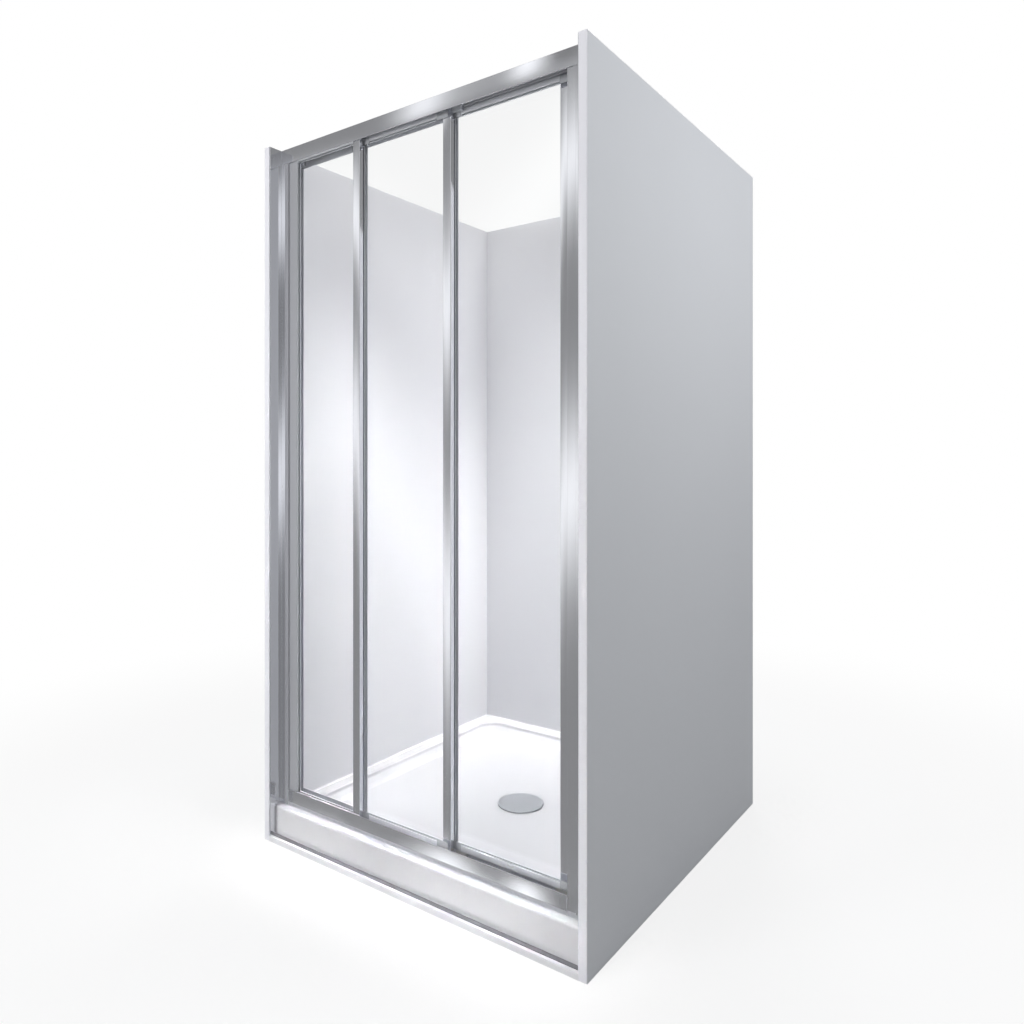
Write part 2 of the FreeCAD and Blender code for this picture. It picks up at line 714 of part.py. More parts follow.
def running_gear(panel, track, left, right):
    """Carriers, axles and rollers at the top corners, guides at the bottom corners."""
    front = track_front(track)
    roller_front = f"{track_web(track)} + skin + panel_clearance / 2"
    roller_back = f"{roller_front} + roller_width"
    plate_front = f"{track_web(track)} + skin + shelf_reach + gap + gap"
    carriers, axles, guides = [], [], []
    for side, axis in (("left", f"{left} + carrier_inset"), ("right", f"{right} - carrier_inset")):
        width = (f"{axis} - carrier_width / 2", f"{axis} + carrier_width / 2")
        plate = box(f"{panel}_{side}_plate", width, (plate_front, f"{plate_front} + carrier_thickness"),
                    ("panel_top", "axle_height + roller_diameter / 2"))
        foot = box(f"{panel}_{side}_foot", width, (plate_front, f"{front} + panel_thickness"),
                   ("panel_top", "panel_top + carrier_thickness"))
        pin_hole = rod(f"{panel}_{side}_pin_hole", "y", "axle_diameter", "carrier_thickness",
                       axis, plate_front, "axle_height")
        bracket = joined(f"{panel}_{side}_bracket", [plate, foot])
        carriers.append(cut(f"{panel}_{side}_carrier", bracket, pin_hole))
        pin = rod(f"{panel}_{side}_pin", "y", "axle_diameter",
                  f"{plate_front} + carrier_thickness - ({roller_front})", axis, roller_front, "axle_height")
        shoulder = rod(f"{panel}_{side}_shoulder", "y", "shoulder_diameter",
                       f"{plate_front} - ({roller_back}) - gap", axis, f"{roller_back} + gap", "axle_height")
        axles.append(joined(f"{panel}_{side}_axle", [pin, shoulder]))
        tyre = rod(f"{panel}_{side}_tyre", "y", "roller_diameter", "roller_width",
                   axis, roller_front, "axle_height")
        bore = rod(f"{panel}_{side}_bore", "y", "axle_diameter + 2 * running_fit", "roller_width",
                   axis, roller_front, "axle_height")
        keep(cut(f"{panel}_{side}_roller", tyre, bore))
        middle = f"{front} + panel_thickness / 2"
        length = (f"{axis} - guide_length / 2", f"{axis} + guide_length / 2")
        block = box(f"{panel}_{side}_block", length,
                    (f"{middle} - guide_thickness / 2", f"{middle} + guide_thickness / 2"),
                    ("panel_bottom - guide_height", "panel_bottom"))
        slot = box(f"{panel}_{side}_slot", length,
                   (f"{middle} - skin / 2 - gap", f"{middle} + skin / 2 + gap"),
                   ("panel_bottom - guide_height", "sill_bottom + skin + guide_rib + 2 * gap"))
        guides.append(cut(f"{panel}_{side}_guide", block, slot))
    keep(grouped(f"{panel}_carriers", carriers))
    keep(grouped(f"{panel}_axles", axles))
    keep(grouped(f"{panel}_guides", guides))


def make_fixed_panel():
    front = track_front(0)
    left = "left_face + outer_stile_start"
    right = "mullion_one + stile_width"
    sides = (f"{left} + outer_stile_width", "mullion_one")
    stile("fixed_outer_stile", stile_section("outer_stile_width"), left, front)
    stile("fixed_inner_stile", stile_section("stile_width"), right, front, flip=True)
    rail("fixed_top_rail", front, "panel_top", "glass_top", sides)
    rail("fixed_bottom_rail", front, "panel_bottom", "glass_bottom", sides)
    glazing("fixed", front, sides)
    wiper("fixed_wiper", front, "mullion_one")


def make_middle_panel():
    front = track_front(1)
    left = "mullion_one"
    right = "mullion_two + stile_width"
    sides = ("mullion_one + stile_width", "mullion_two")
    stile("middle_outer_stile", stile_section("stile_width"), left, front)
    stile("middle_inner_stile", stile_section("stile_width"), right, front, flip=True)
    rail("middle_top_rail", front, "panel_top", "glass_top", sides)
    rail("middle_bottom_rail", front, "panel_bottom", "glass_bottom", sides)
    glazing("middle", front, sides)
    wiper("middle_wiper", front, "mullion_two")
    corner_plates("middle", front, left, right)
    running_gear("middle", 1, left, right)


def make_door():
    front = track_front(2)
    left = "mullion_two"
    right = "door_edge"
    sides = ("mullion_two + stile_width", "door_edge - leading_stile_width")
    stile("door_trailing_stile", stile_section("stile_width"), left, front)
    stile("door_leading_stile", leading_section("leading_stile_width"), right, front, flip=True)
    rail("door_top_rail", front, "panel_top", "glass_top", sides)
    rail("door_bottom_rail", front, "panel_bottom", "glass_bottom", sides)
    glazing("door", front, sides)
    corner_plates("door", front, left, right)
    running_gear("door", 2, left, right)
    magnet_y = (f"{front} + lip", f"{front} + lip + groove")
    reach = ("panel_bottom + skin", "leg_top - skin")
    keep(box("door_magnet", ("door_edge", "door_edge + magnet_thickness"), magnet_y, reach))
    keep(box("jamb_magnet", ("jamb_face - magnet_thickness", "jamb_face"), magnet_y, reach))


# ---------------------------------------------------------------- check and export

def check_and_export():
    doc.recompute()
    for thing in doc.Objects:
        if "Invalid" in thing.State or "Error" in thing.State:
            raise RuntimeError(f"{thing.Label} failed: {thing.State}")
    for thing in PARTS:
        if thing.Shape.isNull() or not thing.Shape.isValid():
            raise RuntimeError(f"{thing.Label} has no valid shape")
        thing.Shape.exportStep(f"parts/{thing.Label}.step")
    print(len(PARTS), "nodes")


def main():
    os.makedirs("parts", exist_ok=True)
    fill_sheet()
    screws = keep(grouped("channel_screws", channel_screws("left") + channel_screws("right")))
    make_cabin(screws)
    make_linings()
    make_tray()
    make_support()
    make_waste()
    make_channels(screws)
    make_closing_jamb()
    make_head_rail()
    make_sill_rail()
    make_buffers()
    make_fixed_panel()
    make_middle_panel()
    make_door()
    check_and_export()


main()
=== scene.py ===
"""Shower enclosure with a sliding door: white boards, acrylic tray and a polished aluminium front.

Metres, X to the right, Y from front to back, Z up from the floor.
"""

import json
import math

import bmesh
import bpy
from mathutils import Matrix, Vector


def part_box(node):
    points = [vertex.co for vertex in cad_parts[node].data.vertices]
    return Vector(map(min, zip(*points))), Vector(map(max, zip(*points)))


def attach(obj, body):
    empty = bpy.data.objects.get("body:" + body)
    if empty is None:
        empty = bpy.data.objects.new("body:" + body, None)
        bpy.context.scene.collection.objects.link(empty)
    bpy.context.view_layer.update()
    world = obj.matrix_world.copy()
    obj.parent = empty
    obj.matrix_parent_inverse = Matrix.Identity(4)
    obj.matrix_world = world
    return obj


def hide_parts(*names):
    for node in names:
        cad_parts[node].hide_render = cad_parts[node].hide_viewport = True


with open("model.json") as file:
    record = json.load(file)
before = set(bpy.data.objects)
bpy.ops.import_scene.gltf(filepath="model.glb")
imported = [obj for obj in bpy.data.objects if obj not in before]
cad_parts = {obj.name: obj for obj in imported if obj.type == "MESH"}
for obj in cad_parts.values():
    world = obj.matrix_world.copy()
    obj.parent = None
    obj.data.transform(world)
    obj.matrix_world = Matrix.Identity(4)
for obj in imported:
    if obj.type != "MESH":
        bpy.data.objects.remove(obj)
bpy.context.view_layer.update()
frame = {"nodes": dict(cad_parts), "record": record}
MM = 0.001
DEGREES = 180 / math.pi
WELD = 0.002 * MM  # points closer than this are one point

SLOT_OF = {part["node"]: part["material_slot"] for part in frame["record"]["subparts"]}
BODY_OF = {node: body for body, nodes in frame["record"]["behaviour"]["bodies"].items() for node in nodes}


# ---------------------------------------------------------------- shader nodes

class Value:
    """One output of a node. Arithmetic on it adds Math nodes."""

    def __init__(self, nodes, socket):
        self.nodes, self.socket = nodes, socket

    def other(self, name):
        """Another output of the same node."""
        return Value(self.nodes, self.socket.node.outputs[name])

    def __add__(self, more):
        return maths("ADD", self, more)

    def __radd__(self, more):
        return maths("ADD", more, self)

    def __sub__(self, less):
        return maths("SUBTRACT", self, less)

    def __rsub__(self, whole):
        return maths("SUBTRACT", whole, self)

    def __mul__(self, times):
        return maths("MULTIPLY", self, times)

    def __truediv__(self, share):
        return maths("DIVIDE", self, share)

    def __pow__(self, power):
        return maths("POWER", self, power)


def maths(operation, first, second=0.0):
    nodes = first.nodes if isinstance(first, Value) else second.nodes
    return nodes.add("ShaderNodeMath", {"operation": operation}, {0: first, 1: second})


class Nodes:
    """The node tree of a material or of the world."""

    def __init__(self, owner):
        owner.use_nodes = True
        self.tree = owner.node_tree
        self.tree.nodes.clear()

    def add(self, kind, settings=None, values=None, output=0):
        """A node: its settings are made first, then the values or links of its sockets."""
        node = self.tree.nodes.new(kind)
        for name, setting in (settings or {}).items():
            if name == "stops":
                elements = node.color_ramp.elements
                while len(elements) < len(setting):
                    elements.new(0.5)
                for element, (place, level) in zip(elements, setting):
                    element.position = place
                    element.color = (level, level, level, 1)
            else:
                setattr(node, name, setting)
        for name, value in (values or {}).items():
            if isinstance(value, Value):
                self.tree.links.new(value.socket, node.inputs[name])
            else:
                node.inputs[name].default_value = value
        return Value(self, node.outputs[output]) if node.outputs else None

    def place(self, scale=(1, 1, 1)):
        """Object coordinates, drawn out along the axes whose scale is small."""
        return self.add("ShaderNodeMapping", {}, {
            "Vector": self.add("ShaderNodeTexCoord", output="Object"), "Scale": scale})

    def noise(self, where, scale, detail=2.0, roughness=0.5):
        return self.add("ShaderNodeTexNoise", {}, {
            "Vector": where, "Scale": scale, "Detail": detail, "Roughness": roughness})

    def ramp(self, value, *stops):
        return self.add("ShaderNodeValToRGB", {"stops": stops}, {"Fac": value})

    def step(self, value, start, end):
        """0 below the start, 1 above the end, and an eased rise between them."""
        return self.add("ShaderNodeMapRange", {"interpolation_type": "SMOOTHSTEP"}, {
            "Value": value, "From Min": start, "From Max": end})

    def blend(self, share, first, second):
        """One colour turning into another."""
        return self.add("ShaderNodeMix", {"data_type": "RGBA"}, {0: share, 6: first, 7: second}, output=2)

    def bump(self, height, distance):
        return self.add("ShaderNodeBump", {}, {"Height": height, "Distance": distance})

    def mixed(self, share, first, second):
        return self.add("ShaderNodeMixShader", {}, {0: share, 1: first, 2: second})

    def surface(self, shader, output="ShaderNodeOutputMaterial"):
        self.add(output, {}, {"Surface": shader})


def colour(red, green, blue):
    """A colour given as it is seen on screen, from 0 to 255, in the renderer's own scale."""
    def linear(part):
        part /= 255
        return part / 12.92 if part <= 0.04045 else ((part + 0.055) / 1.055) ** 2.4
    return (linear(red), linear(green), linear(blue), 1)


def shade(tone, factor):
    return tuple(min(part * factor, 1) for part in tone[:3]) + (1,)


def material(name):
    made = bpy.data.materials.new(name)
    return made, Nodes(made)


# ---------------------------------------------------------------- finishes

def plastic(name, tone, gloss, grain=900, relief=0.02, variation=0.03, coat=0.0, specular=0.5):
    """A moulded or coated surface: faint cloudy tone, fine grain and uneven gloss."""
    made, nodes = material(name)
    where = nodes.place()
    cloud = nodes.noise(where, 5, 3)
    fine = nodes.noise(where, grain, 2)
    nodes.surface(nodes.add("ShaderNodeBsdfPrincipled", {}, {
        "Base Color": nodes.blend(cloud, shade(tone, 1 - variation), shade(tone, 1 + variation)),
        "Roughness": cloud * 0.08 + fine * 0.06 + (gloss - 0.07),
        "Specular IOR Level": specular,
        "Coat Weight": coat,
        "Coat Roughness": 0.06,
        "Normal": nodes.bump(fine, relief * MM)}))
    return made


def polished(name, tone, drawn, gloss=0.08, skin=None, lip=None):
    """Polished extrusion: fine drawing lines along its length and faint wiping marks.

    Behind the front skin, given by its Y, and under the top, given by its Z, the metal is left pale and
    dull from the mill. Inward of a lip, given by its X, the face is satin.
    """
    made, nodes = material(name)
    lines = nodes.noise(nodes.place(drawn), 900, 3, 0.6)
    haze = nodes.noise(nodes.place(), 7, 4, 0.6)
    values = {"Base Color": nodes.blend(haze, shade(tone, 0.96), tone), "Metallic": 1.0,
              "Roughness": lines * 0.05 + haze * 0.05 + (gloss - 0.05),
              "Normal": nodes.bump(lines, 0.003 * MM)}
    if skin is not None:
        front, top = skin
        depth = nodes.add("ShaderNodeSeparateXYZ", {}, {0: nodes.place()}, output="Y")
        behind = nodes.step(depth, front, front + 0.2 * MM)
        under = 1.0 - nodes.step(depth.other("Z"), top - 0.4 * MM, top - 0.2 * MM)
        inside = behind * under
        values["Metallic"] = 1.0 - inside * 0.75
        values["Roughness"] = values["Roughness"] + inside * 0.35
    if lip is not None:
        across = nodes.add("ShaderNodeSeparateXYZ", {}, {0: nodes.place()}, output="X")
        values["Roughness"] = values["Roughness"] + nodes.step(across, lip, lip + MM) * 0.4
    nodes.surface(nodes.add("ShaderNodeBsdfPrincipled", {}, values))
    return made


def turned_satin(name, tone):
    """Turned and lacquered metal: fine rings round the waste's middle."""
    made, nodes = material(name)
    rings = nodes.add("ShaderNodeTexWave", {"wave_type": "RINGS", "rings_direction": "Z"},
                      {"Vector": nodes.place(), "Scale": 260.0, "Distortion": 1.5, "Detail": 2.0})
    cloud = nodes.noise(nodes.place(), 30, 3)
    nodes.surface(nodes.add("ShaderNodeBsdfPrincipled", {}, {
        "Base Color": nodes.blend(cloud, shade(tone, 0.95), tone),
        "Metallic": 0.35,
        "Roughness": rings * 0.06 + cloud * 0.06 + 0.38,
        "Normal": nodes.bump(rings, 0.008 * MM)}))
    return made


def clear_glass(name):
    """Clear toughened glass: light goes straight through, and it mirrors more the flatter it is seen."""
    made, nodes = material(name)
    film = nodes.noise(nodes.place(), 3, 3)
    through = nodes.add("ShaderNodeBsdfTransparent", {}, {"Color": (0.985, 0.987, 0.987, 1)})
    mirrored = nodes.add("ShaderNodeBsdfPrincipled", {}, {
        "Base Color": (0.97, 0.98, 0.98, 1), "Metallic": 1.0, "Roughness": film * 0.03 + 0.01})
    facing = nodes.add("ShaderNodeLayerWeight", {}, {"Blend": 0.5}, output="Facing")
    mirroring = facing ** 5 * 0.9 + film * 0.02 + 0.03
    nodes.surface(nodes.mixed(mirroring, through, mirrored))
    return made


def timber(name, tone):
    made, nodes = material(name)
    rings = nodes.add("ShaderNodeTexWave", {"wave_type": "RINGS", "rings_direction": "X"},
                      {"Vector": nodes.place((1, 8, 8)), "Scale": 40.0, "Distortion": 4.0, "Detail": 3.0})
    nodes.surface(nodes.add("ShaderNodeBsdfPrincipled", {}, {
        "Base Color": nodes.blend(rings, shade(tone, 0.7), tone), "Roughness": rings * 0.1 + 0.6,
        "Normal": nodes.bump(rings, 0.05 * MM)}))
    return made


def bead_foam(name, tone):
    made, nodes = material(name)
    beads = nodes.add("ShaderNodeTexVoronoi", {}, {"Vector": nodes.place(), "Scale": 240.0})
    nodes.surface(nodes.add("ShaderNodeBsdfPrincipled", {}, {
        "Base Color": nodes.blend(beads, tone, shade(tone, 0.9)), "Roughness": beads * 0.1 + 0.8,
        "Normal": nodes.bump(beads, 0.4 * MM)}))
    return made


ALUMINIUM = colour(236, 237, 241)
FINISHES = {
    "wall_board": plastic("white_board_face", colour(226, 229, 234), 0.45, 1400, 0.015, 0.008),
    "floor_board": plastic("white_base_board", colour(236, 236, 238), 0.6, 700, 0.03, 0.015),
    "edge_band": plastic("white_edge_banding", colour(243, 243, 249), 0.35, 1200, 0.01, 0.006),
    "acrylic_lining": plastic("acrylic_wall_lining", colour(240, 240, 243), 0.25, 160, 0.01, 0.006, coat=0.3),
    "acrylic_tray": plastic("acrylic_tray_surface", colour(224, 224, 227), 0.2, 220, 0.003, 0.006,
                            coat=1.0, specular=0.9),
    "foam": bead_foam("bead_foam", colour(225, 225, 222)),
    "silicone": plastic("sanitary_silicone", colour(240, 240, 242), 0.3, 120, 0.05, 0.01),
    "timber": timber("beech_dowel", colour(206, 170, 120)),
    "steel": polished("zinc_plated_screw", colour(190, 192, 196), (1, 1, 1), 0.28),
    "waste_plastic": plastic("waste_body_plastic", colour(214, 214, 216), 0.45, 500, 0.03, 0.03),
    "waste_metal": turned_satin("satin_waste_cover", colour(184, 187, 191)),
    "gasket_rubber": plastic("pale_glazing_rubber", colour(205, 208, 212), 0.55, 900, 0.03, 0.04),
    # The plinth strip is a real trim, but its dark grey is painted shade: it stands for the shadow in the gap
    # under the tray's front.
    "dark_trim": plastic("plinth_strip_painted_shade", colour(112, 112, 116), 0.35, 900, 0.02, 0.04),
    "magnet_strip": plastic("magnet_strip_rubber", colour(92, 93, 97), 0.5, 900, 0.03, 0.06),
    "nylon": plastic("nylon_roller_tread", colour(226, 226, 220), 0.4, 600, 0.02, 0.02),
    "grey_plastic": plastic("grey_guide_plastic", colour(182, 184, 188), 0.45, 700, 0.03, 0.05),
    "carrier_steel": polished("pressed_steel_carrier", colour(176, 178, 182), (1, 1, 1), 0.35),
    "safety_glass": clear_glass("toughened_glass"),
    "polished_aluminium": polished("polished_aluminium_across", ALUMINIUM, (0.01, 1, 1)),
}
LIP_WIDTH = 16 * MM
SKIN = 0.8 * MM
RAIL_FRONT, RAIL_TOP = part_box("head_rail")[0].y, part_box("head_rail")[1].z
UPRIGHT_ALUMINIUM = polished("polished_aluminium_upright", ALUMINIUM, (1, 1, 0.01))
SATIN_ALUMINIUM = polished("satin_aluminium_upright", ALUMINIUM, (1, 1, 0.01), gloss=0.5)
LIPPED_ALUMINIUM = polished("polished_lip_aluminium", ALUMINIUM, (1, 1, 0.01),
                            lip=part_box("left_channel")[0].x + LIP_WIDTH)
RAIL_ALUMINIUM = polished("polished_aluminium_rail", ALUMINIUM, (0.01, 1, 1),
                          skin=(RAIL_FRONT + SKIN, RAIL_TOP))


# ---------------------------------------------------------------- modelling

def deselect():
    bpy.ops.object.select_all(action="DESELECT")


def edit(piece, mode="FACE"):
    """Opens a piece for editing with nothing selected."""
    deselect()
    bpy.context.view_layer.objects.active = piece
    piece.select_set(True)
    bpy.ops.object.mode_set(mode="EDIT")
    bpy.ops.mesh.select_mode(type=mode)
    bpy.ops.mesh.select_all(action="DESELECT")
    return piece


def leave_edit():
    if bpy.context.mode != "OBJECT":
        bpy.ops.object.mode_set(mode="OBJECT")


def pick_faces(piece, wanted):
    """Selects the faces whose middle and normal pass a test."""
    bpy.ops.mesh.select_mode(type="FACE")
    bpy.ops.mesh.select_all(action="DESELECT")
    mesh = bmesh.from_edit_mesh(piece.data)
    for face in mesh.faces:
        face.select_set(wanted(face.calc_center_median(), face.normal))
    bmesh.update_edit_mesh(piece.data)


def pick_edges(piece, wanted):
    """Selects the edges both of whose ends pass a test."""
    bpy.ops.mesh.select_mode(type="EDGE")
    bpy.ops.mesh.select_all(action="DESELECT")
    mesh = bmesh.from_edit_mesh(piece.data)
    for edge in mesh.edges:
        edge.select_set(all(wanted(vertex.co) for vertex in edge.verts))
    bmesh.update_edit_mesh(piece.data)


def unpick_edges(piece, unwanted):
    mesh = bmesh.from_edit_mesh(piece.data)
    for edge in mesh.edges:
        if edge.select and unwanted(edge):
            edge.select_set(False)
    bmesh.update_edit_mesh(piece.data)


def near(first, second, reach=0.02 * MM):
    return abs(first - second) < reach


def rise(height):
    """Extrudes what is selected straight up, or down where the height is negative."""
    bpy.ops.mesh.extrude_region_move(TRANSFORM_OT_translate={"value": (0, 0, height)})


def start(primitive, name, **values):
    """A primitive of its own, named and open for editing."""
    leave_edit()
    deselect()
    primitive(**values)
    piece = bpy.context.object
    piece.name = piece.data.name = name
    bpy.ops.object.transform_apply(location=True, rotation=True, scale=True)
    return edit(piece)


def block(name, low, high):
    """A cube stretched between two corners."""
    leave_edit()
    deselect()
    bpy.ops.mesh.primitive_cube_add(size=1, location=(Vector(low) + Vector(high)) / 2)
    piece = bpy.context.object
    piece.name = piece.data.name = name
    piece.scale = Vector(high) - Vector(low)
    bpy.ops.object.transform_apply(location=True, rotation=True, scale=True)
    return edit(piece)


def joined(name, pieces):
    """Several shaped blocks as one object."""
    leave_edit()
    deselect()
    for piece in pieces:
        piece.select_set(True)
    bpy.context.view_layer.objects.active = pieces[0]
    bpy.ops.object.join()
    pieces[0].name = pieces[0].data.name = name
    return pieces[0]


def finish(piece, slot, body, surface, *nodes):
    """Smooths the rounded edges, keeps the flats flat, and hands the piece over."""
    leave_edit()
    deselect()
    bpy.context.view_layer.objects.active = piece
    piece.select_set(True)
    bpy.ops.object.shade_smooth_by_angle(angle=math.radians(50))
    even = piece.modifiers.new("even_flats", "WEIGHTED_NORMAL")
    even.keep_sharp = True
    bpy.ops.object.modifier_apply(modifier=even.name)
    piece.data.materials.clear()
    piece.data.materials.append(surface)
    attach(piece, body)
    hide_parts(*nodes)
    return piece


def eased(node, arris, surface=None, shortest=3.0, steps=2):
    """A copy of a solid whose sharp edges are rounded as sawn, drawn or moulded edges are.

    The arris and the shortest edge that gets one are in millimetres.
    """
    piece = bpy.data.objects.new(node + "_eased", frame["nodes"][node].data.copy())
    bpy.context.scene.collection.objects.link(piece)
    edit(piece, "EDGE")
    bpy.ops.mesh.select_all(action="SELECT")
    bpy.ops.mesh.remove_doubles(threshold=WELD)
    bpy.ops.mesh.dissolve_limited(angle_limit=math.radians(1))
    bpy.ops.mesh.select_all(action="DESELECT")
    bpy.ops.mesh.edges_select_sharp(sharpness=math.radians(40))
    unpick_edges(piece, lambda edge: edge.calc_length() < shortest * MM)
    bpy.ops.mesh.bevel(offset=arris * MM, segments=steps, affect="EDGES", clamp_overlap=True)
    slot = SLOT_OF[node]
    return finish(piece, slot, BODY_OF[node], surface or FINISHES[slot], node)


# ---------------------------------------------------------------- boards and linings

BAND_SCRAPE = 1.1 * MM
BEAD_FACE = 0.94  # share of the bead's size that the hollow takes up
BEAD_HOLLOW = 0.12  # bevel profile: 0.5 is round, less is hollow


def edge_bands():
    """Plastic bands glued to the boards' front edges and tops, their outer edges scraped round."""
    low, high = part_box("edge_bands")
    wall_low, wall_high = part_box("right_wall")
    board, band = wall_high.x - wall_low.x, high.z - wall_high.z
    left, right, front, back, top = low.x, high.x, low.y, high.y, high.z
    strips = {
        "left_front_band": ((left, front, 0), (left + board, front + band, top)),
        "right_front_band": ((right - board, front, 0), (right, front + band, top)),
        "left_top_band": ((left, front + band, top - band), (left + board, back, top)),
        "right_top_band": ((right - board, front + band, top - band), (right, back, top)),
        "back_top_band": ((left + board, back - board, top - band), (right - board, back, top)),
    }
    pieces = []
    for name, corners in strips.items():
        strip = block(name, *corners)
        if name.endswith("front_band"):
            pick_edges(strip, lambda end: near(end.y, front))
        else:
            pick_edges(strip, lambda end: near(end.z, top))
        bpy.ops.mesh.bevel(offset=BAND_SCRAPE, segments=4, affect="EDGES")
        pieces.append(strip)
    finish(joined("edge_banding", pieces), "edge_band", "enclosure", FINISHES["edge_band"], "edge_bands")


def silicone_beads():
    """A finger-smoothed bead along the foot of each lining, its face drawn hollow."""
    low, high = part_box("rim_seal")
    size = high.z - low.z
    runs = {
        "left_bead": (low, (low.x + size, high.y, high.z), "x", low.x + size),
        "right_bead": ((high.x - size, low.y, low.z), high, "x", high.x - size),
        "back_bead": ((low.x + size, high.y - size, low.z), (high.x - size, high.y, high.z),
                      "y", high.y - size),
    }
    pieces = []
    for name, (corner, far, axis, face) in runs.items():
        run = block(name, corner, far)
        pick_edges(run, lambda end: near(getattr(end, axis), face) and near(end.z, high.z))
        bpy.ops.mesh.bevel(offset=size * BEAD_FACE, segments=6, profile=BEAD_HOLLOW, affect="EDGES")
        pieces.append(run)
    finish(joined("silicone_beads", pieces), "silicone", "enclosure", FINISHES["silicone"], "rim_seal")


# ---------------------------------------------------------------- tray and waste

TRAY_LOW, TRAY_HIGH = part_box("tray")
RIM = TRAY_LOW.z + 70 * MM
LEDGE_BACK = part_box("sill_rail")[1].y
RIM_WIDTH = 45 * MM
FRONT_RIM = 14 * MM
BASIN_LOW = Vector((TRAY_LOW.x + RIM_WIDTH, LEDGE_BACK + FRONT_RIM, RIM))
BASIN_HIGH = Vector((TRAY_HIGH.x - RIM_WIDTH, TRAY_HIGH.y - RIM_WIDTH, RIM))
BASIN_CORNER = 70 * MM
CORNER_STEPS = 14
WALL_FOOT = 74 * MM
BASIN_FLOOR = 54 * MM
FOOT_SLOPE = 20 * MM
APRON = 12 * MM
UNDERSIDE = 41 * MM
FLOOR_AT_WASTE = 48 * MM
SEAT_LEVEL = 45.7 * MM
RECESS, SEAT, HOLE = 68 * MM, 58 * MM, 44 * MM
RECESS_TURN = math.radians(3)
# The stepped hole for the waste: (radius as a share of the one before, level).
WASTE_STEPS = ((SEAT / RECESS, FLOOR_AT_WASTE), (1, SEAT_LEVEL), (HOLE / SEAT, SEAT_LEVEL), (1, UNDERSIDE))
LEDGE_NOSE, LEDGE_HEEL = 5 * MM, 2.5 * MM
# The rounded edges of the basin: (level, radius, steps).
BASIN_EDGES = ((RIM, 5 * MM, 5), (WALL_FOOT, 4 * MM, 3), (BASIN_FLOOR, 12 * MM, 5))


def in_basin(place):
    return (BASIN_LOW.x - MM < place.x < BASIN_HIGH.x + MM and
            BASIN_LOW.y - MM < place.y < BASIN_HIGH.y + MM)


